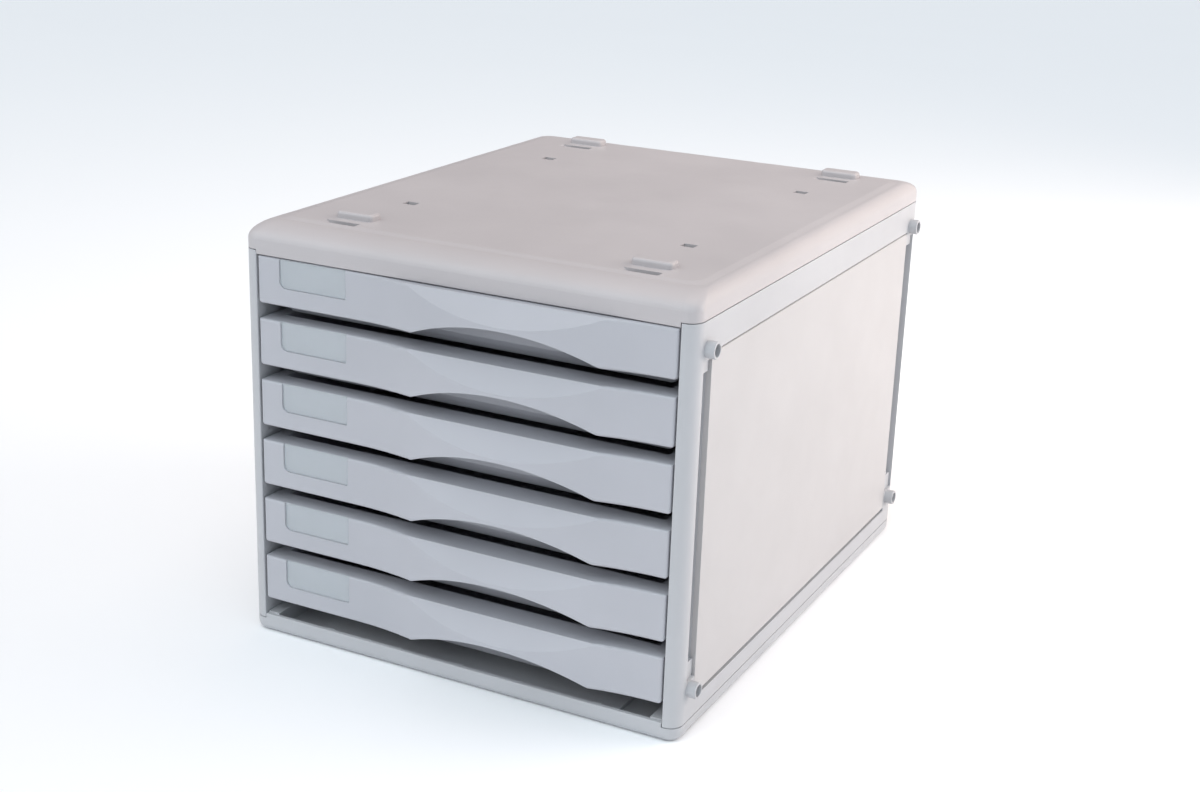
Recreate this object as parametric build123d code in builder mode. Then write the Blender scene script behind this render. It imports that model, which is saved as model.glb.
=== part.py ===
import os
from math import cos, radians, sin, tan

from build123d import *

# Desktop filing cabinet: a moulded shell with six sliding drawers for A4 paper.
# Millimetres. X runs to the right, Y runs back, Z runs up.
# The origin is the middle of the underside, and the drawers face -Y.

# ---------------------------------------------------------------- driving sizes

overrun = 1.0              # cutting blocks reach this far past the faces they open

# Shell
body_width = 276.0
body_depth = 350.0
base_height = 9.0          # underside to the seam between base and side frames
lid_height = 15.0          # upper seam to the flat top
corner_radius = 8.0        # upright corners of lid, base and front posts, seen from above
shell_wall = 3.0           # skirts and floor of lid and base
base_edge_radius = 5.0     # rounding under the base
seam_gap = 0.5             # shadow line at both seams
seam_depth = 1.2
lip_edge_radius = 0.6      # outer edges of the front lips

# Lid
lid_skirt = 6.0            # upright band over the seam, below the roll
end_roll = 20.0            # how far the roll reaches in from the front and the rear
side_roll = 7.0            # how far it reaches in from the sides
roll_sections = 5
pad_height = 0.8           # the flat top stands this far above the roll's upper edge
pad_slope = 4.5            # soft slope round the flat top
pad_margin = 0.5           # roll's upper edge to the foot of the slope
pad_root = 0.3             # the slope runs on this far into the roll
front_lip_height = 2.2     # lips of lid and base between the front posts
front_lip_depth = 2.6

# Pegs of lid and base in the ends of the posts
peg_diameter = 5.0
peg_length = 6.0
peg_boss_diameter = 8.0
peg_clearance = 0.2
peg_end_gap = 1.0

# Stacking tabs on the lid, the slots in front of them and the latch holes
tab_width = 23.8
tab_depth = 10.5
tab_height = 3.8
tab_corner = 2.6
tab_edge_radius = 1.8
tab_side_inset = 46.2      # side of the lid to the middle of the tab
tab_front_inset = 43.0
tab_rear_inset = 30.0
top_shift = 1.5            # tabs and latch holes sit this far to the right
slot_side_inset = 45.7
slot_width = 22.5
slot_depth = 6.0
slot_ramp = 5.0            # sloping left end of the slot
slot_to_tab = 15.0
latch_width = 8.0
latch_depth = 6.5
latch_side_inset = 49.3
latch_end_inset = 92.0

# Sockets under the base for the tabs of the cabinet below
socket_clearance = 0.8
socket_wall = 2.0

# Base floor
floor_panel_gap = 23.2     # ledges to the raised middle of the floor
floor_panel_rise = 2.0
floor_ledge_width = 7.5    # ledge beside each side frame
floor_ledge_top = 12.0
lip_tab_width = 5.0        # small catches behind the base's lip
lip_tab_depth = 1.6
lip_tab_drop = 0.4
lip_tab_spacing = 87.0
lip_tab_offset = 2.0       # the middle catch sits this far to the right
lip_rib_width = 1.6        # narrow ribs between the catches
lip_rib_spacing = 79.0

# Side frames
post_width = 9.0           # front and rear posts, across the cabinet
post_depth = 19.5          # front post, along the cabinet
frame_rear_gap = 2.5       # the frames end this far inside the lid's rear edge
rear_edge_radius = 5.0
post_edge_radius = 0.6     # inner edge of the front post
frame_skin = 3.0
bottom_rail_height = 10.0
top_rail_height = 18.0
panel_lip_width = 6.0      # lip all round the window, behind the infill panel
panel_lip_thickness = 2.4
channel_width = 9.9        # shallow channel beside the front edge of the infill panel
rear_channel_width = 13.3
channel_depth = 1.7
channel_low_gap = 0.4      # lower stud to the lower end of the channel
channel_high_gap = 1.4
slot_end_gap = 10.0        # channel's end to the deep slot's end, below
slot_top_gap = 7.0         # the same above
side_slot_depth = 6.0
rear_slot_depth = 4.1

# Coupling studs on the right side, oval sockets on the left
stud_diameter = 9.2
stud_bore = 7.0
stud_length = 5.4
stud_edge_radius = 0.4
stud_to_window = 5.8       # window's edge to the middle of the stud
stud_low_rise = 19.0       # lower seam to the middle of the lower studs
stud_high_drop = 15.0
stud_socket_clearance = 0.25
stud_socket_play = 4.0     # the sockets are this much taller than wide
stud_socket_depth = 6.0

# Infill panels
panel_gap = 0.3            # along the posts
panel_top_gap = 0.8
panel_bottom_gap = 2.0
panel_edge_chamfer = 0.5

# Back panel
back_thickness = 2.5
back_inset = 1.5           # the panel lies this far inside the frames' rear edge
back_overlap = 3.5         # how far it reaches into the rebates of the rear posts
back_clearance = 0.3

# Drawers
drawer_count = 6
front_height = 26.9
front_gap = 9.0            # between two fronts
drawer_foot = 12.8         # lower seam to the lowest front
front_top_gap = 0.6        # lid's lip to the top drawer
front_side_gap = 1.1
front_depth = 13.3         # top flange, from the flat face back to the tray
front_skin = 2.4
flange_thickness = 2.0
front_edge_radius = 1.4
front_corner_radius = 2.0  # lower corners of the front, seen from the front

# Handle: the face swells forward between two ramps, and takes the width the label leaves
handle_margin = 2.5        # right end of the front to the ramp
ramp_length = 38.0
swell_angle = 12.5         # slope of the face where ramp and swell meet
arch_height = 11.9         # finger arch in the lower edge
scoop_foot = 13.8          # height of the crease at the middle
scoop_angle = 28.5         # lean of the scooped upper face
scoop_brow_radius = 1.8    # rounding between the scoop and the top

# Label holder in the drawer's face
label_width = 43.8
label_height = 16.6
label_margin = 14.5        # left end of the front to the label
label_to_handle = 5.0      # label to the left ramp
label_depth = 1.3
label_wide_radius = 4.0    # lower corner on the left
label_small_radius = 1.0   # lower corner on the right
label_gap = 0.25
card_thickness = 0.3
window_thickness = 0.7
window_standoff = 0.1      # air between the card and the window

# Trays
tray_wall = 2.0
tray_side_gap = 2.1        # tray's wall to the runner's edge
tray_clearance = 1.4       # tray's underside above the next front
tray_rear_gap = 12.0       # tray to the cabinet's rear
tray_slope_top = 1.0       # where the front wall starts to lean back
tray_slope_run = 7.0
tray_edge_radius = 4.0
rim_side_gap = 1.5         # sliding rims to the posts
rim_thickness = 2.0

# Runners
runner_reach = 5.9         # runners inside the posts' inner faces
runner_thickness = 2.4
runner_web = 2.0
runner_clearance = 0.3     # below the drawer's rim
guide_clearance = 0.5      # above it
guide_thickness = 2.0
guide_set_back = 26.0      # upper guide starts this far behind the front
stop_clearance = 0.3       # at the runner's front end, with the drawer shut

# Pull-out stops
drawer_travel = 250.0
catch_set_back = 1.5       # catch behind the front post
catch_drop = 4.6
catch_length = 3.0
lug_hold = 1.3             # how far the lug laps the catch
lug_height = 4.2
lug_length = 4.0
lug_gap = 0.5

# -------------------------------------------------------------- derived places

half_width = body_width / 2
half_depth = body_depth / 2
front_y = -half_depth
lower_seam = base_height
drawer_pitch = front_height + front_gap
side_height = (drawer_foot + drawer_count * drawer_pitch - front_gap
               + front_top_gap + front_lip_height)
upper_seam = base_height + side_height
top_z = upper_seam + lid_height
roll_start = upper_seam + lid_skirt
roll_rise = lid_height - pad_height - lid_skirt
opening_half = half_width - post_width
skin_x = half_width - frame_skin
frame_rear = half_depth - frame_rear_gap
window_front = front_y + post_depth
window_rear = -window_front
window_low = lower_seam + bottom_rail_height
window_high = upper_seam - top_rail_height
stud_y = window_rear + stud_to_window
stud_low_z = lower_seam + stud_low_rise
stud_high_z = upper_seam - stud_high_drop
channel_low = stud_low_z + stud_diameter / 2 + channel_low_gap
channel_high = stud_high_z - stud_diameter / 2 - channel_high_gap
side_slot_low = channel_low + slot_end_gap
side_slot_high = channel_high - slot_top_gap

top_drawer_z = upper_seam - front_lip_height - front_top_gap - front_height
front_half = opening_half - front_side_gap
front_back = front_y + front_depth
label_left = -front_half + label_margin
label_right = label_left + label_width
handle_left = label_right + label_to_handle
handle_right = front_half - handle_margin
handle_x = (handle_left + handle_right) / 2
handle_half_span = (handle_right - handle_left) / 2 - ramp_length
cusp_rise = ramp_length * tan(radians(swell_angle / 2))
swell_rise = cusp_rise + handle_half_span * tan(radians(swell_angle / 2))
swell_y = front_y - swell_rise
wall_face = front_back - front_skin

runner_outer = skin_x - panel_gap
runner_inner = opening_half - runner_reach
tray_rear = half_depth - tray_rear_gap
tray_half = runner_inner - tray_side_gap
tray_drop = front_gap - tray_clearance
rim_half = opening_half - rim_side_gap
rim_low = front_height - rim_thickness
runner_top = rim_low - runner_clearance
runner_low = runner_top - runner_thickness
guide_low = front_height + guide_clearance
guide_top = guide_low + guide_thickness
catch_front = window_front + catch_set_back
catch_back = catch_front + catch_length
lug_front = catch_back + drawer_travel + stop_clearance
lug_half = runner_inner + lug_hold

back_rear = frame_rear - back_inset
back_front = back_rear - back_thickness
rebate_front = back_front - back_clearance

both = [-1, 1]
peg_x = half_width - post_width / 2
peg_y = [front_y + post_depth / 2, (window_rear + rebate_front) / 2]
peg_places = [(side * peg_x, y) for side in both for y in peg_y]
tab_x = half_width - tab_side_inset
tab_y = [front_y + tab_front_inset, half_depth - tab_rear_inset]
tab_places = [(side * tab_x + top_shift, y) for side in both for y in tab_y]
slot_x = half_width - slot_side_inset
slot_places = [(side * slot_x, y - slot_to_tab) for side in both for y in tab_y]
latch_x = half_width - latch_side_inset
latch_y = half_depth - latch_end_inset
latch_places = [(side * latch_x + top_shift, end * latch_y) for side in both for end in both]


def block(x_low, x_high, y_low, y_high, z_low, z_high, mode=Mode.ADD):
    """A plain block between two corners, joined to or cut from the open part."""
    middle = ((x_low + x_high) / 2, (y_low + y_high) / 2, (z_low + z_high) / 2)
    with Locations(middle):
        Box(x_high - x_low, y_high - y_low, z_high - z_low, mode=mode)


def seam_form(z_low):
    """What the shadow line leaves out, all the way round the outside."""
    with BuildPart() as form:
        with BuildSketch(Plane.XY.offset(z_low)):
            RectangleRounded(body_width + 2 * overrun, body_depth + 2 * overrun, corner_radius)
            RectangleRounded(body_width - 2 * seam_depth, body_depth - 2 * seam_depth,
                             corner_radius - seam_depth, mode=Mode.SUBTRACT)
        extrude(amount=seam_gap)
    return form.part


def lip_form(z_free, z_root):
    """A lip between the front posts, with its outer edge rounded at the free end."""
    with BuildPart() as form:
        block(-opening_half + panel_gap, opening_half - panel_gap, front_y,
              front_y + front_lip_depth, min(z_free, z_root), max(z_free, z_root))
        fillet(form.edges().filter_by(Axis.X).sort_by_distance((0, front_y, z_free))[0],
               radius=lip_edge_radius)
    return form.part


# ------------------------------------------------------------------------- lid

def lid_form(inset):
    """The lid's outer form, or its hollow: an upright skirt under a rolled top."""
    width = body_width - 2 * inset
    depth = body_depth - 2 * inset
    radius = corner_radius - inset
    with BuildPart() as form:
        with BuildSketch(Plane.XY.offset(upper_seam)):
            RectangleRounded(width, depth, radius)
        extrude(amount=lid_skirt - inset)
        for step in range(roll_sections):
            turn = radians(90 * step / (roll_sections - 1))
            drawn_in = 1 - cos(turn)
            with BuildSketch(Plane.XY.offset(roll_start - inset + roll_rise * sin(turn))):
                RectangleRounded(width - 2 * side_roll * drawn_in,
                                 depth - 2 * end_roll * drawn_in, radius)
        loft()
    return form.part


def pad_form():
    """The raised flat top with the soft slope round it."""
    with BuildPart() as form:
        for drop in (pad_height + pad_root, 0):
            drawn_in = pad_margin + pad_slope * (1 - drop / pad_height)
            with BuildSketch(Plane.XY.offset(top_z - drop)):
                RectangleRounded(body_width - 2 * (side_roll + drawn_in),
                                 body_depth - 2 * (end_roll + drawn_in), corner_radius)
        loft()
    return form.part


def tabs_form():
    """The four stacking tabs, rounded above."""
    with BuildPart() as form:
        with BuildSketch(Plane.XY.offset(top_z - shell_wall)):
            with Locations(tab_places):
                RectangleRounded(tab_width, tab_depth, tab_corner)
        extrude(amount=shell_wall + tab_height)
        fillet(form.faces().filter_by(Axis.Z).group_by(Axis.Z)[-1].edges(), radius=tab_edge_radius)
    return form.part


with BuildPart() as lid:
    add(lid_form(0))
    add(pad_form())
    add(lid_form(shell_wall), mode=Mode.SUBTRACT)
    add(seam_form(upper_seam), mode=Mode.SUBTRACT)
    add(lip_form(upper_seam - front_lip_height, upper_seam + shell_wall))
    # pegs that drop into the posts
    with BuildSketch(Plane.XY.offset(upper_seam)):
        with Locations(peg_places):
            Circle(peg_boss_diameter / 2)
    extrude(amount=lid_skirt + shell_wall)
    with BuildSketch(Plane.XY.offset(upper_seam)):
        with Locations(peg_places):
            Circle(peg_diameter / 2)
    extrude(amount=-peg_length)
    add(tabs_form())
    # clip slots in front of the tabs, and latch holes
    for x, y in slot_places:
        slot_left = x - slot_width / 2
        slot_right = x + slot_width / 2
        with BuildSketch(Plane.XZ.offset(-y)):
            with BuildLine():
                Polyline((slot_left, top_z + overrun), (slot_left, top_z),
                         (slot_left + slot_ramp, top_z - shell_wall),
                         (slot_left + slot_ramp, top_z - 2 * shell_wall),
                         (slot_right, top_z - 2 * shell_wall), (slot_right, top_z + overrun),
                         close=True)
            make_face()
        extrude(amount=slot_depth / 2, both=True, mode=Mode.SUBTRACT)
    for x, y in latch_places:
        block(x - latch_width / 2, x + latch_width / 2, y - latch_depth / 2, y + latch_depth / 2,
              top_z - 2 * shell_wall, top_z + overrun, mode=Mode.SUBTRACT)
lid.part.label = "lid"

# ------------------------------------------------------------------------ base

socket_width = tab_width + 2 * socket_clearance
socket_depth = tab_depth + 2 * socket_clearance
socket_height = tab_height + socket_clearance

with BuildPart() as base:
    with BuildSketch():
        RectangleRounded(body_width, body_depth, corner_radius)
    extrude(amount=base_height)
    fillet(base.faces().sort_by(Axis.Z)[0].edges(), radius=base_edge_radius)
    with BuildSketch(Plane.XY.offset(shell_wall)):
        RectangleRounded(body_width - 2 * shell_wall, body_depth - 2 * shell_wall,
                         corner_radius - shell_wall)
    extrude(amount=base_height, mode=Mode.SUBTRACT)
    add(seam_form(base_height - seam_gap), mode=Mode.SUBTRACT)
    # lip between the front posts, with its catches
    lip_back = front_y + front_lip_depth
    lip_top = base_height + front_lip_height
    add(lip_form(lip_top, base_height - shell_wall))
    for place in (-1, 0, 1):
        catch_x = lip_tab_offset + place * lip_tab_spacing
        block(catch_x - lip_tab_width / 2, catch_x + lip_tab_width / 2,
              lip_back, lip_back + lip_tab_depth, shell_wall, lip_top - lip_tab_drop)
    for side in both:
        rib_x = lip_tab_offset + side * lip_rib_spacing / 2
        block(rib_x - lip_rib_width / 2, rib_x + lip_rib_width / 2,
              lip_back, lip_back + lip_tab_depth, shell_wall, lip_top - lip_tab_drop)
    # raised floor between the ledges
    floor_rear = back_front - shell_wall
    ledge_outer = opening_half - panel_gap
    ledge_inner = ledge_outer - floor_ledge_width
    panel_half = ledge_inner - floor_panel_gap
    block(-panel_half, panel_half, lip_back + lip_tab_depth, floor_rear,
          shell_wall, shell_wall + floor_panel_rise)
    # pegs that rise into the posts
    with BuildSketch(Plane.XY.offset(shell_wall)):
        with Locations(peg_places):
            Circle(peg_boss_diameter / 2)
    extrude(amount=base_height - shell_wall)
    with BuildSketch(Plane.XY.offset(base_height)):
        with Locations(peg_places):
            Circle(peg_diameter / 2)
    extrude(amount=peg_length)
    # ledges beside the side frames
    for inner, outer in ((ledge_inner, ledge_outer), (-ledge_outer, -ledge_inner)):
        block(inner, outer, lip_back, floor_rear, shell_wall, floor_ledge_top)
    # bosses over the stacking sockets, then the sockets
    for x, y in tab_places:
        block(x - socket_width / 2 - socket_wall, x + socket_width / 2 + socket_wall,
              y - socket_depth / 2 - socket_wall, y + socket_depth / 2 + socket_wall,
              shell_wall, socket_height + socket_wall)
        block(x - socket_width / 2, x + socket_width / 2,
              y - socket_depth / 2, y + socket_depth / 2,
              -overrun, socket_height, mode=Mode.SUBTRACT)
base.part.label = "base"

# ----------------------------------------------------------------- side frames

drawer_levels = [top_drawer_z - index * drawer_pitch for index in range(drawer_count)]

with BuildPart() as frame_form:
    # posts
    block(opening_half, half_width, front_y, window_front, lower_seam, upper_seam)
    block(opening_half, half_width, window_rear, frame_rear, lower_seam, upper_seam)
    upright = frame_form.edges().filter_by(Axis.Z)
    outer_front = upright.group_by(Axis.Y)[0].sort_by(Axis.X)[-1]
    inner_front = upright.group_by(Axis.Y)[0].sort_by(Axis.X)[0]
    outer_rear = upright.group_by(Axis.Y)[-1].sort_by(Axis.X)[-1]
    fillet(outer_front, radius=corner_radius)
    fillet(inner_front, radius=post_edge_radius)
    fillet(outer_rear, radius=rear_edge_radius)
    # rails, with a lip behind the infill panel
    block(skin_x, half_width, window_front, window_rear, lower_seam, window_low)
    block(skin_x, half_width, window_front, window_rear, window_high, upper_seam)
    lip_inner = skin_x - panel_lip_thickness
    block(lip_inner, skin_x, window_front, window_rear, lower_seam, window_low + panel_lip_width)
    block(lip_inner, skin_x, window_front, window_rear, window_high - panel_lip_width, upper_seam)
    block(lip_inner, skin_x, window_front, window_front + panel_lip_width, window_low, window_high)
    block(lip_inner, skin_x, window_rear - panel_lip_width, window_rear, window_low, window_high)
    # runners: a ledge under each drawer's rim, a web, and a guide over the rim
    for level in drawer_levels:
        block(runner_inner, runner_outer, window_front, window_rear,
              level + runner_low, level + runner_top)
        block(runner_inner, opening_half, front_back + stop_clearance, window_front,
              level + runner_low, level + runner_top)
        block(runner_outer - runner_web, runner_outer, window_front, window_rear,
              level + runner_low, level + guide_top)
        block(runner_inner, runner_outer, front_y + guide_set_back, window_rear,
              level + guide_low, level + guide_top)
        # catch that stops the drawer's lug
        block(runner_inner, runner_outer, catch_front, catch_back,
              level + runner_low - catch_drop, level + runner_low)
    # channels beside the infill panel, and the deep slots in them
    for y_low, y_high, slot in ((window_front - channel_width, window_front, side_slot_depth),
                                (window_rear, window_rear + rear_channel_width, rear_slot_depth)):
        block(half_width - channel_depth, half_width + overrun, y_low, y_high,
              channel_low, channel_high, mode=Mode.SUBTRACT)
        block(half_width - slot, half_width + overrun, y_low, y_high,
              side_slot_low, side_slot_high, mode=Mode.SUBTRACT)
    # holes for the pegs of base and lid
    for seam, reach in ((lower_seam, 1), (upper_seam, -1)):
        with BuildSketch(Plane.XY.offset(seam)):
            with Locations(peg_places):
                Circle(peg_diameter / 2 + peg_clearance)
        extrude(amount=reach * (peg_length + peg_end_gap), mode=Mode.SUBTRACT)
    # rebate for the back panel
    block(opening_half - overrun, opening_half + back_overlap + back_clearance,
          rebate_front, frame_rear + overrun,
          lower_seam - overrun, upper_seam + overrun, mode=Mode.SUBTRACT)

stud_places = [(y, z) for y in (-stud_y, stud_y) for z in (stud_low_z, stud_high_z)]

with BuildPart() as side_frame_right:
    add(frame_form.part)
    with BuildSketch(Plane.YZ.offset(half_width - channel_depth)):
        with Locations(stud_places):
            Circle(stud_diameter / 2)
    extrude(amount=channel_depth + stud_length)
    stud_ends = side_frame_right.faces().filter_by(Axis.X).group_by(Axis.X)[-1]
    fillet(stud_ends.edges(), radius=stud_edge_radius)
    with BuildSketch(Plane.YZ.offset(half_width + stud_length)):
        with Locations(stud_places):
            Circle(stud_bore / 2)
    extrude(amount=-(stud_length + stud_socket_depth), mode=Mode.SUBTRACT)
side_frame_right.part.label = "side_frame_right"

with BuildPart() as side_frame_left:
    add(mirror(frame_form.part, about=Plane.YZ))
    socket_span = stud_diameter + 2 * stud_socket_clearance
    with BuildSketch(Plane.YZ.offset(-half_width)):
        with Locations(stud_places):
            SlotOverall(socket_span + stud_socket_play, socket_span, rotation=90)
    extrude(amount=stud_socket_depth, mode=Mode.SUBTRACT)
side_frame_left.part.label = "side_frame_left"

# --------------------------------------------------------------- infill panels

with BuildPart() as side_panel_right:
    block(skin_x, half_width, window_front + panel_gap, window_rear - panel_gap,
          window_low + panel_bottom_gap, window_high - panel_top_gap)
    outer_face = side_panel_right.faces().sort_by(Axis.X)[-1]
    chamfer(outer_face.edges().filter_by(Axis.Y), length=panel_edge_chamfer)
side_panel_right.part.label = "side_panel_right"

with BuildPart() as side_panel_left:
    add(mirror(side_panel_right.part, about=Plane.YZ))
side_panel_left.part.label = "side_panel_left"

# ------------------------------------------------------------------ back panel

with BuildPart() as back_panel:
    back_half = opening_half + back_overlap
    block(-back_half, back_half, back_front, back_rear,
          shell_wall + back_clearance, roll_start - shell_wall)
back_panel.part.label = "back_panel"

# --------------------------------------------------------------------- drawers

# One drawer is drawn with its front's lower edge at height nought, then set in each level.

scoop_slope = tan(radians(scoop_angle))
face_overrun = 8.0         # cutting forms reach this far past the swelling face
hair = 0.01                # for picking edges by place


def face_plan(inset):
    """The front seen from above: flat, ramp, swell, ramp, flat and a straight back."""
    with BuildSketch() as plan:
        with BuildLine():
            left = Line((-front_half, front_y), (handle_left, front_y))
            rise = TangentArc(left @ 1, (handle_left + ramp_length, front_y - cusp_rise),
                              tangent=(1, 0))
            swell = TangentArc(rise @ 1, (handle_right - ramp_length, front_y - cusp_rise),
                               tangent=rise % 1)
            fall = TangentArc(swell @ 1, (handle_right, front_y), tangent=swell % 1)
            Polyline(fall @ 1, (front_half, front_y), (front_half, front_back),
                     (-front_half, front_back), left @ 0)
        make_face()
        if inset > 0:
            offset(amount=-inset)
    return plan.sketch


def scoop_form(inset):
    """What the scooped upper face leaves out, bounded by a leaning plane and the top."""
    shift = inset / cos(radians(scoop_angle))
    crest = swell_y + (front_height - scoop_foot) * scoop_slope + shift
    foot = scoop_foot - (face_overrun + shift) / scoop_slope
    outside = swell_y - face_overrun
    above = front_height + face_overrun
    with BuildPart() as form:
        with BuildSketch(Plane.YZ) as corners:
            with BuildLine():
                Polyline((outside, foot), (crest, front_height), (front_back, front_height),
                         (front_back, above), (outside, above), close=True)
            make_face()
            brow = corners.vertices().sort_by_distance((0, crest, front_height))[0]
            fillet(brow, radius=scoop_brow_radius)
        extrude(amount=front_half, both=True)
    return form.part


def front_hollow():
    """The space inside the front, open below."""
    with BuildPart() as hollow:
        with BuildSketch(Plane.XY.offset(-face_overrun)):
            add(face_plan(front_skin))
        extrude(amount=face_overrun + front_height - flange_thickness)
        add(scoop_form(front_skin), mode=Mode.SUBTRACT)
    return hollow.part


def front_form():
    """The front with its swelling face, scoop and finger arch."""
    with BuildPart() as front:
        with BuildSketch():
            add(face_plan(0))
        extrude(amount=front_height)
        fillet(front.edges().filter_by(Axis.Y).group_by(Axis.Z)[0], radius=front_corner_radius)
        face_edges = front.edges().filter_by_position(Axis.Y, swell_y - hair, front_y + hair)
        upright = face_edges.filter_by(Axis.Z).sort_by(Axis.X)
        rims = face_edges.filter_by(Axis.Z, reverse=True)
        fillet([upright[0], upright[-1]] + rims, radius=front_edge_radius)
        add(scoop_form(0), mode=Mode.SUBTRACT)
        add(front_hollow(), mode=Mode.SUBTRACT)
        # finger arch
        left_foot = (handle_x - handle_half_span, 0)
        right_foot = (handle_x + handle_half_span, 0)
        with BuildSketch(Plane.XZ.offset(face_overrun - swell_y)):
            with BuildLine():
                ThreePointArc(left_foot, (handle_x, arch_height), right_foot)
                Polyline(right_foot, (right_foot[0], -overrun), (left_foot[0], -overrun), left_foot)
            make_face()
        extrude(amount=swell_y - face_overrun - wall_face + overrun, mode=Mode.SUBTRACT)
    return front.part


def tray_form(inset):
    """The tray's outside, or its hollow when inset by the wall."""
    top = front_height + 2 * inset
    with BuildPart() as form:
        with BuildSketch(Plane.YZ) as profile:
            with BuildLine():
                Polyline((wall_face, top), (wall_face, tray_slope_top),
                         (wall_face + tray_slope_run, -tray_drop), (tray_rear, -tray_drop),
                         (tray_rear, top), close=True)
            make_face()
            fillet(profile.vertices().group_by(Axis.Y)[-1], radius=tray_edge_radius)
            if inset > 0:
                offset(amount=-inset)
        extrude(amount=tray_half - inset, both=True)
        flanks = form.faces().filter_by(Axis.X)
        lower_edges = flanks.edges().filter_by(lambda edge: edge.center().Z < top - inset - hair)
        fillet(lower_edges, radius=tray_edge_radius - inset)
    return form.part


def label_plan(gap, extra_top):
    """The label's outline in the face: square above, rounded at the lower corners."""
    left = label_left + gap
    right = label_right - gap
    low = front_height - label_height + gap
    high = front_height + extra_top
    with BuildSketch() as plan:
        with BuildLine():
            Polyline((left, high), (left, low), (right, low), (right, high), close=True)
        make_face()
        low_left = plan.vertices().sort_by_distance((left, low))[0]
        fillet(low_left, radius=label_wide_radius - gap)
        low_right = plan.vertices().sort_by_distance((right, low))[0]
        fillet(low_right, radius=label_small_radius - gap)
    return plan.sketch


def label_sheet(front_face, thickness):
    """A sheet in the recess, with its front face at front_face."""
    with BuildPart() as sheet:
        with BuildSketch(Plane.XZ.offset(-front_face)):
            add(label_plan(label_gap, -label_gap))
        extrude(amount=-thickness)
    return sheet.part


# One moulding: tray, sliding rims, stop lugs and hollow front
with BuildPart() as drawer_form:
    add(tray_form(0))
    add(tray_form(tray_wall), mode=Mode.SUBTRACT)
    add(front_form())
    for side in both:
        rim_outer = side * rim_half
        rim_inner = side * (tray_half - tray_wall / 2)
        block(min(rim_inner, rim_outer), max(rim_inner, rim_outer),
              front_back - front_skin / 2, tray_rear, rim_low, front_height)
        lug_outer = side * lug_half
        lug_top = runner_low - lug_gap
        block(min(rim_inner, lug_outer), max(rim_inner, lug_outer),
              lug_front, lug_front + lug_length, lug_top - lug_height, lug_top)
    # recess for the label and its window, open at the top
    with BuildSketch(Plane.XZ.offset(-front_y)):
        add(label_plan(0, face_overrun))
    extrude(amount=-label_depth, mode=Mode.SUBTRACT)

card_face = front_y + label_depth - card_thickness
card_form = label_sheet(card_face, card_thickness)
window_face = card_face - window_standoff - window_thickness
window_form = label_sheet(window_face, window_thickness)

drawer_pieces = []
for number, level in enumerate(drawer_levels, start=1):
    with BuildPart() as drawer:
        with Locations((0, 0, level)):
            add(drawer_form.part)
    drawer.part.label = f"drawer_{number}"
    with BuildPart() as label_card:
        with Locations((0, 0, level)):
            add(card_form)
    label_card.part.label = f"label_card_{number}"
    with BuildPart() as label_window:
        with Locations((0, 0, level)):
            add(window_form)
    label_window.part.label = f"label_window_{number}"
    drawer_pieces += [drawer.part, label_card.part, label_window.part]

# ---------------------------------------------------------------------- export

pieces = [lid.part, base.part, side_frame_left.part, side_frame_right.part,
          side_panel_left.part, side_panel_right.part, back_panel.part] + drawer_pieces

os.makedirs("parts", exist_ok=True)
for piece in pieces:
    export_step(piece, f"parts/{piece.label}.step")
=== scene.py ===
import bmesh
import bpy
from bpy.props import FloatProperty, FloatVectorProperty, PointerProperty
from mathutils import Matrix, Vector

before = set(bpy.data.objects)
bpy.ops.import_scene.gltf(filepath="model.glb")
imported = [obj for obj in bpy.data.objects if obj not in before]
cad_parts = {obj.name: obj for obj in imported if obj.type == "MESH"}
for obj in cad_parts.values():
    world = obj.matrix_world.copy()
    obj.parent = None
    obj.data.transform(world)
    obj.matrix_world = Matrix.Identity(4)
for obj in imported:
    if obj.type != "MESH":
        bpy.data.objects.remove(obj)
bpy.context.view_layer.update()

bl_info = {
    "name": "Desktop Drawer Cabinet",
    "version": (1, 0, 0),
    "blender": (4, 5, 0),
    "location": "View3D > Sidebar > Cabinet",
    "description": "Finishes a moulded drawer cabinet and sets it on a studio floor",
    "category": "Object",
}


def nodes_named(prefix):
    """The CAD nodes whose names start alike."""
    return [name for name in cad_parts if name.startswith(prefix)]


# ---------------------------------------------------------------- settings

class CabinetColours(bpy.types.PropertyGroup):
    """Colours of the mouldings and of what they hold. The greys are partly the plastics' own
    colours and partly painted light: warm tints on the lid and infill panels for warm light on
    the top and sides, cool tints on the frames and drawers for cool light on the front.
    """

    # Each default is partly the part's own grey and partly painted light: warmer where warm
    # light falls (top, sides), cooler where cool light falls (front).
    lid: FloatVectorProperty(
        name="Lid", description="Rolled top cover", subtype="COLOR",
        size=3, min=0.0, max=1.0, default=(0.466, 0.444, 0.454))
    shell: FloatVectorProperty(
        name="Frames and base", description="Side frames and base tray",
        subtype="COLOR", size=3, min=0.0, max=1.0, default=(0.456, 0.463, 0.483))
    infill: FloatVectorProperty(
        name="Infill panels", description="Plain panels of the sides and the back",
        subtype="COLOR", size=3, min=0.0, max=1.0, default=(0.475, 0.465, 0.47))
    drawer: FloatVectorProperty(
        name="Drawers", description="Drawer mouldings", subtype="COLOR",
        size=3, min=0.0, max=1.0, default=(0.43, 0.437, 0.473))
    card: FloatVectorProperty(
        name="Label card", description="Blank card behind each window",
        subtype="COLOR", size=3, min=0.0, max=1.0, default=(0.355, 0.375, 0.40))
    window: FloatVectorProperty(
        name="Label window", description="Clear sheet over each card",
        subtype="COLOR", size=3, min=0.0, max=1.0, default=(0.86, 0.91, 0.95))


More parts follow.
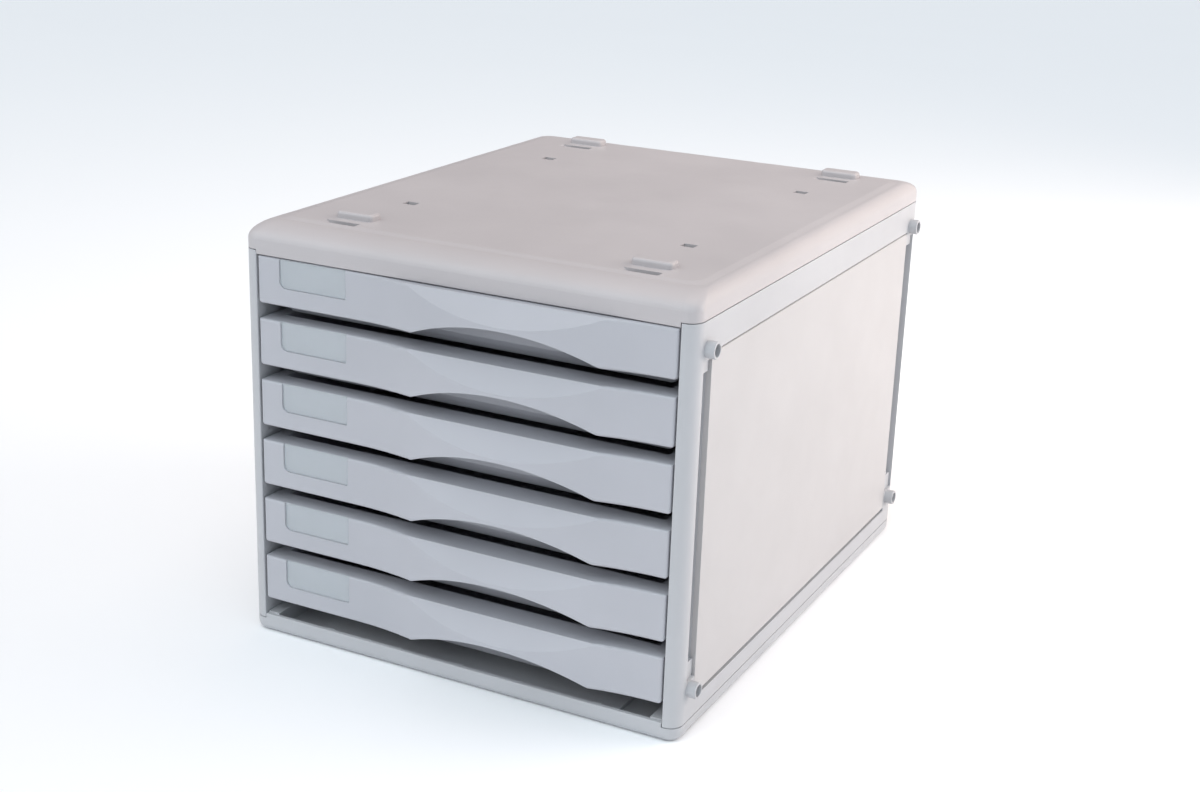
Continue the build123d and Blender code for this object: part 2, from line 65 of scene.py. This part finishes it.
class CabinetFinish(bpy.types.PropertyGroup):
    """Surface of the moulded plastic."""

    grain_size: FloatProperty(
        name="Grain size", description="Width of one grain of the satin texture",
        subtype="DISTANCE", unit="LENGTH", min=0.00005, max=0.002, default=0.00035)
    grain_depth: FloatProperty(
        name="Grain depth", description="Height of the satin texture",
        subtype="DISTANCE", unit="LENGTH", min=0.0, max=0.0005, default=0.00003)
    edge_radius: FloatProperty(
        name="Edge softness", description="Rounding that catches the light on crisp edges",
        subtype="DISTANCE", unit="LENGTH", min=0.0, max=0.002, default=0.0003)
    roughness: FloatProperty(
        name="Roughness", description="0 is polished, 1 is chalky",
        subtype="FACTOR", min=0.0, max=1.0, default=0.42)


class CabinetStage(bpy.types.PropertyGroup):
    """Floor, light and camera."""

    floor_radius: FloatProperty(
        name="Floor radius", description="How far the pale floor reaches",
        subtype="DISTANCE", unit="LENGTH", min=1.0, max=50.0, default=12.0)
    floor_colour: FloatVectorProperty(
        name="Floor", description="Pale floor", subtype="COLOR",
        size=3, min=0.0, max=1.0, default=(0.93, 0.94, 0.955))
    room_light: FloatVectorProperty(
        name="Room light", description="Even light from all round", subtype="COLOR",
        size=3, min=0.0, max=5.0, default=(0.17, 0.155, 0.17))
    front_light: FloatVectorProperty(
        name="Front light", description="Broad cool light from above and in front",
        subtype="COLOR", size=3, min=0.0, max=5.0, default=(1.80, 2.01, 2.10))
    corner_light: FloatVectorProperty(
        name="Corner light", description="Broad light from above the front left corner",
        subtype="COLOR", size=3, min=0.0, max=5.0, default=(0.80, 0.77, 0.75))
    right_light: FloatVectorProperty(
        name="Right light", description="Broad weak light from the right", subtype="COLOR",
        size=3, min=0.0, max=5.0, default=(0.21, 0.29, 0.345))
    key_power: FloatProperty(
        name="Key light", description="Soft box behind the cabinet's right side",
        subtype="POWER", unit="POWER", min=0.0, max=500.0, default=6.9)
    fill_power: FloatProperty(
        name="Fill light", description="Warm soft box further to the rear",
        subtype="POWER", unit="POWER", min=0.0, max=500.0, default=4.9)
    top_power: FloatProperty(
        name="Top light", description="Warm soft box high above the cabinet",
        subtype="POWER", unit="POWER", min=0.0, max=500.0, default=5.0)
    lens: FloatProperty(
        name="Lens", description="Focal length in millimetres on a 36 mm frame",
        min=10.0, max=300.0, default=53.95)


# ---------------------------------------------------------------- materials

# Noise scales are in patches per metre.
PATTERN_LOW = 0.3            # a pattern is stretched from here
PATTERN_HIGH = 0.7           # to here over its whole range

FLOW_SCALE = 11.0            # faint flow marks in the plastic
FLOW_DETAIL = 3.0
FLOW_DARKEST = 0.965         # shares of the plain colour
FLOW_LIGHTEST = 1.03
HAZE_SCALE = 26.0            # patches dulled or polished by handling
HAZE_DETAIL = 4.0
HAZE_BREAKUP = 0.6
HAZE_POLISHED = 0.05         # taken off the roughness
HAZE_DULLED = 0.06           # added to it
WAVE_SCALE = 18.0            # slow waves of a moulded wall
WAVE_STRENGTH = 0.25
WAVE_HEIGHT = 0.0004
GRAIN_STRENGTH = 0.6
RELIEF_DETAIL = 1.0          # waves and grain are single, even patterns
EDGE_SAMPLES = 4
PLASTIC_SPECULAR = 0.4

FIBRE_SCALE = 1500.0
FIBRE_DETAIL = 3.0
FIBRE_BREAKUP = 0.7
CARD_DARKEST = 0.96
CARD_LIGHTEST = 1.04
CARD_ROUGHNESS = 0.85

WINDOW_ALPHA = 0.12
WINDOW_IOR = 1.49
FROST_SCALE = 60.0
FROST_DETAIL = 3.0
FROST_LOW = 0.16             # roughness of the clear sheet
FROST_HIGH = 0.3


def new_material(name):
    """An empty material with its tree, shader and texture coordinates."""
    material = bpy.data.materials.new(name)
    material.use_nodes = True
    tree = material.node_tree
    tree.nodes.clear()
    output = tree.nodes.new("ShaderNodeOutputMaterial")
    shader = tree.nodes.new("ShaderNodeBsdfPrincipled")
    place = tree.nodes.new("ShaderNodeTexCoord")
    tree.links.new(shader.outputs["BSDF"], output.inputs["Surface"])
    return material, tree, shader, place


def noise(tree, place, scale, detail, roughness=0.5):
    """A noise pattern on Object coordinates."""
    pattern = tree.nodes.new("ShaderNodeTexNoise")
    pattern.inputs["Scale"].default_value = scale
    pattern.inputs["Detail"].default_value = detail
    pattern.inputs["Roughness"].default_value = roughness
    tree.links.new(place.outputs["Object"], pattern.inputs["Vector"])
    return pattern.outputs["Fac"]


def spread(tree, pattern, low, high):
    """Maps a pattern onto a narrow range of values."""
    node = tree.nodes.new("ShaderNodeMapRange")
    node.inputs["From Min"].default_value = PATTERN_LOW
    node.inputs["From Max"].default_value = PATTERN_HIGH
    node.inputs["To Min"].default_value = low
    node.inputs["To Max"].default_value = high
    tree.links.new(pattern, node.inputs["Value"])
    return node.outputs["Result"]


def shaded(tree, pattern, colour, darkest, lightest):
    """One colour, a little darker and lighter along a pattern."""
    shade = tree.nodes.new("ShaderNodeMix")
    shade.data_type = "RGBA"
    for socket, share in (("A", darkest), ("B", lightest)):
        tint = [min(channel * share, 1.0) for channel in colour]
        shade.inputs[socket].default_value = (*tint, 1.0)
    tree.links.new(pattern, shade.inputs["Factor"])
    return shade.outputs["Result"]


def relief(tree, heights, strength, depth, normal):
    """Tilts the surface along a pattern of heights."""
    bump = tree.nodes.new("ShaderNodeBump")
    bump.inputs["Strength"].default_value = strength
    bump.inputs["Distance"].default_value = depth
    tree.links.new(heights, bump.inputs["Height"])
    tree.links.new(normal, bump.inputs["Normal"])
    return bump.outputs["Normal"]


def moulded_plastic(name, colour, finish):
    """Satin moulded plastic: fine grain, faint flow marks and handling haze."""
    material, tree, shader, place = new_material(name)
    flow = spread(tree, noise(tree, place, FLOW_SCALE, FLOW_DETAIL), 0.0, 1.0)
    tree.links.new(shaded(tree, flow, colour, FLOW_DARKEST, FLOW_LIGHTEST),
                   shader.inputs["Base Color"])
    haze = spread(tree, noise(tree, place, HAZE_SCALE, HAZE_DETAIL, HAZE_BREAKUP),
                  finish.roughness - HAZE_POLISHED, finish.roughness + HAZE_DULLED)
    tree.links.new(haze, shader.inputs["Roughness"])
    shader.inputs["Specular IOR Level"].default_value = PLASTIC_SPECULAR
    soft_edge = tree.nodes.new("ShaderNodeBevel")
    soft_edge.samples = EDGE_SAMPLES
    soft_edge.inputs["Radius"].default_value = finish.edge_radius
    waves = relief(tree, noise(tree, place, WAVE_SCALE, RELIEF_DETAIL),
                   WAVE_STRENGTH, WAVE_HEIGHT, soft_edge.outputs["Normal"])
    grain = relief(tree, noise(tree, place, 1.0 / finish.grain_size, RELIEF_DETAIL),
                   GRAIN_STRENGTH, finish.grain_depth, waves)
    tree.links.new(grain, shader.inputs["Normal"])
    return material


def blank_card(colour):
    """Uncoated card with a faint fibre."""
    material, tree, shader, place = new_material("label_card")
    fibre = noise(tree, place, FIBRE_SCALE, FIBRE_DETAIL, FIBRE_BREAKUP)
    tree.links.new(shaded(tree, fibre, colour, CARD_DARKEST, CARD_LIGHTEST),
                   shader.inputs["Base Color"])
    shader.inputs["Roughness"].default_value = CARD_ROUGHNESS
    return material


def clear_sheet(colour):
    """Thin clear plastic, a little frosted by handling."""
    material, tree, shader, place = new_material("label_window")
    shader.inputs["Base Color"].default_value = (*colour, 1.0)
    shader.inputs["Alpha"].default_value = WINDOW_ALPHA
    shader.inputs["IOR"].default_value = WINDOW_IOR
    frost = spread(tree, noise(tree, place, FROST_SCALE, FROST_DETAIL), FROST_LOW, FROST_HIGH)
    tree.links.new(frost, shader.inputs["Roughness"])
    return material


def dress(names, material):
    """Gives CAD nodes a better material and leaves their meshes alone."""
    for name in names:
        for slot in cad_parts[name].material_slots:
            slot.material = material


class CABINET_OT_finish_shell(bpy.types.Operator):
    """Finish the lid, and the frames and the base in a cooler grey; the lid's warmer and the
    frames' cooler tint are partly painted light, warm on the top and cool on the front
    """

    bl_idname = "cabinet.finish_shell"
    bl_label = "Shell"

    def execute(self, context):
        colours, finish = context.scene.cabinet_colours, context.scene.cabinet_finish
        dress(["lid"], moulded_plastic("lid_plastic", colours.lid, finish))
        dress(["base", "side_frame_left", "side_frame_right"],
              moulded_plastic("shell_plastic", colours.shell, finish))
        return {"FINISHED"}


class CABINET_OT_finish_infill(bpy.types.Operator):
    """Finish the plain panels of the sides and the back"""

    bl_idname = "cabinet.finish_infill"
    bl_label = "Infill panels"

    def execute(self, context):
        colours, finish = context.scene.cabinet_colours, context.scene.cabinet_finish
        dress(["side_panel_left", "side_panel_right", "back_panel"],
              moulded_plastic("infill_plastic", colours.infill, finish))
        return {"FINISHED"}


class CABINET_OT_finish_drawers(bpy.types.Operator):
    """Finish the drawers"""

    bl_idname = "cabinet.finish_drawers"
    bl_label = "Drawers"

    def execute(self, context):
        colours, finish = context.scene.cabinet_colours, context.scene.cabinet_finish
        dress(nodes_named("drawer_"),
              moulded_plastic("drawer_plastic", colours.drawer, finish))
        return {"FINISHED"}


class CABINET_OT_finish_labels(bpy.types.Operator):
    """Finish the label cards and their windows"""

    bl_idname = "cabinet.finish_labels"
    bl_label = "Labels"

    def execute(self, context):
        colours = context.scene.cabinet_colours
        dress(nodes_named("label_card_"), blank_card(colours.card))
        dress(nodes_named("label_window_"), clear_sheet(colours.window))
        return {"FINISHED"}


# ---------------------------------------------------------------- stage

# Places and lengths are in metres, in the frame that the cabinet stands in.
CAMERA_PLACE = (0.4734, -0.9481, 0.4762)
CAMERA_RIGHT = (0.88841, 0.45784, 0.03336)
CAMERA_UP = (-0.17405, 0.26871, 0.94737)
CAMERA_BACK = (0.42478, -0.84746, 0.31841)
CAMERA_NEAR = 0.01
SENSOR_WIDTH = 36.0          # millimetres, as the lens

CABINET_MIDDLE = (0.0, 0.0, 0.12)
SOFT_BOXES = (               # name, place, width, power setting, colour
    ("key_light", (0.9, 0.45, 0.5), 0.9, "key_power", (1.0, 0.93, 0.90)),
    ("fill_light", (0.8, 0.9, 0.6), 1.2, "fill_power", (1.0, 0.77, 0.57)),
    ("top_light", (0.0, 0.3, 1.5), 1.0, "top_power", (1.0, 0.78, 0.66)),
)
WALL_GLOWS = (               # direction, narrowness, colour setting
    ((0.0, -0.6, 0.8), 4.0, "front_light"),
    ((-0.65, -0.45, 0.6), 4.0, "corner_light"),
    ((1.0, 0.0, 0.1), 2.0, "right_light"),
)

FLOOR_SEGMENTS = 96
FLOOR_MOTTLE_SCALE = 3.0
FLOOR_MOTTLE_DETAIL = 2.0
FLOOR_DARKEST = 0.99
FLOOR_ROUGHNESS = 0.9


def add_to_scene(name, data):
    """A new object that holds some data, in the scene."""
    made = bpy.data.objects.new(name, data)
    bpy.context.scene.collection.objects.link(made)
    return made


def set_camera(lens):
    """The photograph's view."""
    data = bpy.data.cameras.new("camera")
    data.sensor_fit = "HORIZONTAL"
    data.sensor_width = SENSOR_WIDTH
    data.lens = lens
    data.clip_start = CAMERA_NEAR
    camera = add_to_scene("camera", data)
    turn = Matrix((CAMERA_RIGHT, CAMERA_UP, CAMERA_BACK)).transposed()
    camera.matrix_world = Matrix.Translation(CAMERA_PLACE) @ turn.to_4x4()
    bpy.context.scene.camera = camera


def soft_box(name, place, width, power, colour):
    """A square soft light that looks at the cabinet."""
    data = bpy.data.lights.new(name, "AREA")
    data.size = width
    data.energy = power
    data.color = colour
    light = add_to_scene(name, data)
    aim = (Vector(CABINET_MIDDLE) - Vector(place)).to_track_quat("-Z", "Y")
    light.matrix_world = Matrix.Translation(place) @ aim.to_matrix().to_4x4()


def maths(tree, kind, operation, *values):
    """A maths node whose inputs are linked to sockets or set to plain values."""
    node = tree.nodes.new(kind)
    node.operation = operation
    for socket, value in zip(node.inputs, values):
        if isinstance(value, bpy.types.NodeSocket):
            tree.links.new(value, socket)
        else:
            socket.default_value = value
    return node


def studio_room(even, glows):
    """A light room whose walls glow softly on some sides."""
    world = bpy.data.worlds.new("studio")
    bpy.context.scene.world = world
    world.use_nodes = True
    tree = world.node_tree
    tree.nodes.clear()
    output = tree.nodes.new("ShaderNodeOutputWorld")
    back = tree.nodes.new("ShaderNodeBackground")
    place = tree.nodes.new("ShaderNodeTexCoord")
    tree.links.new(back.outputs["Background"], output.inputs["Surface"])
    total = even
    for side, narrowness, colour in glows:
        facing = maths(tree, "ShaderNodeVectorMath", "DOT_PRODUCT",
                       place.outputs["Generated"], Vector(side).normalized())
        lit_half = maths(tree, "ShaderNodeMath", "MAXIMUM", facing.outputs["Value"], 0.0)
        falloff = maths(tree, "ShaderNodeMath", "POWER", lit_half.outputs["Value"], narrowness)
        glow = maths(tree, "ShaderNodeVectorMath", "MULTIPLY_ADD",
                     falloff.outputs["Value"], colour, total)
        total = glow.outputs["Vector"]
    tree.links.new(total, back.inputs["Color"])


def pale_floor(radius, colour):
    """A round floor under the cabinet."""
    shape = bmesh.new()
    bmesh.ops.create_circle(shape, cap_ends=True, segments=FLOOR_SEGMENTS, radius=radius)
    mesh = bpy.data.meshes.new("floor")
    shape.to_mesh(mesh)
    shape.free()
    floor = add_to_scene("floor", mesh)
    material, tree, shader, place = new_material("floor_paint")
    mottle = noise(tree, place, FLOOR_MOTTLE_SCALE, FLOOR_MOTTLE_DETAIL)
    tree.links.new(shaded(tree, mottle, colour, FLOOR_DARKEST, 1.0),
                   shader.inputs["Base Color"])
    shader.inputs["Roughness"].default_value = FLOOR_ROUGHNESS
    mesh.materials.append(material)


class CABINET_OT_stage(bpy.types.Operator):
    """Add the pale floor, the soft lights and the camera"""

    bl_idname = "cabinet.stage"
    bl_label = "Stage"

    def execute(self, context):
        stage = context.scene.cabinet_stage
        pale_floor(stage.floor_radius, stage.floor_colour)
        studio_room(stage.room_light,
                    [(side, narrowness, getattr(stage, setting))
                     for side, narrowness, setting in WALL_GLOWS])
        for name, place, width, setting, colour in SOFT_BOXES:
            soft_box(name, place, width, getattr(stage, setting), colour)
        set_camera(stage.lens)
        context.scene.view_settings.view_transform = "Standard"
        return {"FINISHED"}


# ---------------------------------------------------------------- panel

STEPS = (CABINET_OT_finish_shell, CABINET_OT_finish_infill, CABINET_OT_finish_drawers,
         CABINET_OT_finish_labels, CABINET_OT_stage)


class CABINET_PT_sidebar(bpy.types.Panel):
    """Colours, finish and steps of the cabinet"""

    bl_label = "Drawer Cabinet"
    bl_space_type = "VIEW_3D"
    bl_region_type = "UI"
    bl_category = "Cabinet"

    def draw(self, context):
        scene = context.scene
        for group in (scene.cabinet_colours, scene.cabinet_finish, scene.cabinet_stage):
            box = self.layout.box()
            for field in group.bl_rna.properties.keys():
                if field not in {"rna_type", "name"}:
                    box.prop(group, field)
        for step in STEPS:
            self.layout.operator(step.bl_idname)


GROUPS = {"cabinet_colours": CabinetColours, "cabinet_finish": CabinetFinish,
          "cabinet_stage": CabinetStage}


def register():
    for name, group in GROUPS.items():
        bpy.utils.register_class(group)
        setattr(bpy.types.Scene, name, PointerProperty(type=group))
    for step in (*STEPS, CABINET_PT_sidebar):
        bpy.utils.register_class(step)


def unregister():
    for step in reversed((*STEPS, CABINET_PT_sidebar)):
        bpy.utils.unregister_class(step)
    for name, group in reversed(GROUPS.items()):
        delattr(bpy.types.Scene, name)
        bpy.utils.unregister_class(group)


def main():
    register()
    bpy.ops.cabinet.finish_shell()
    bpy.ops.cabinet.finish_infill()
    bpy.ops.cabinet.finish_drawers()
    bpy.ops.cabinet.finish_labels()
    bpy.ops.cabinet.stage()


if __name__ == "__main__":
    main()
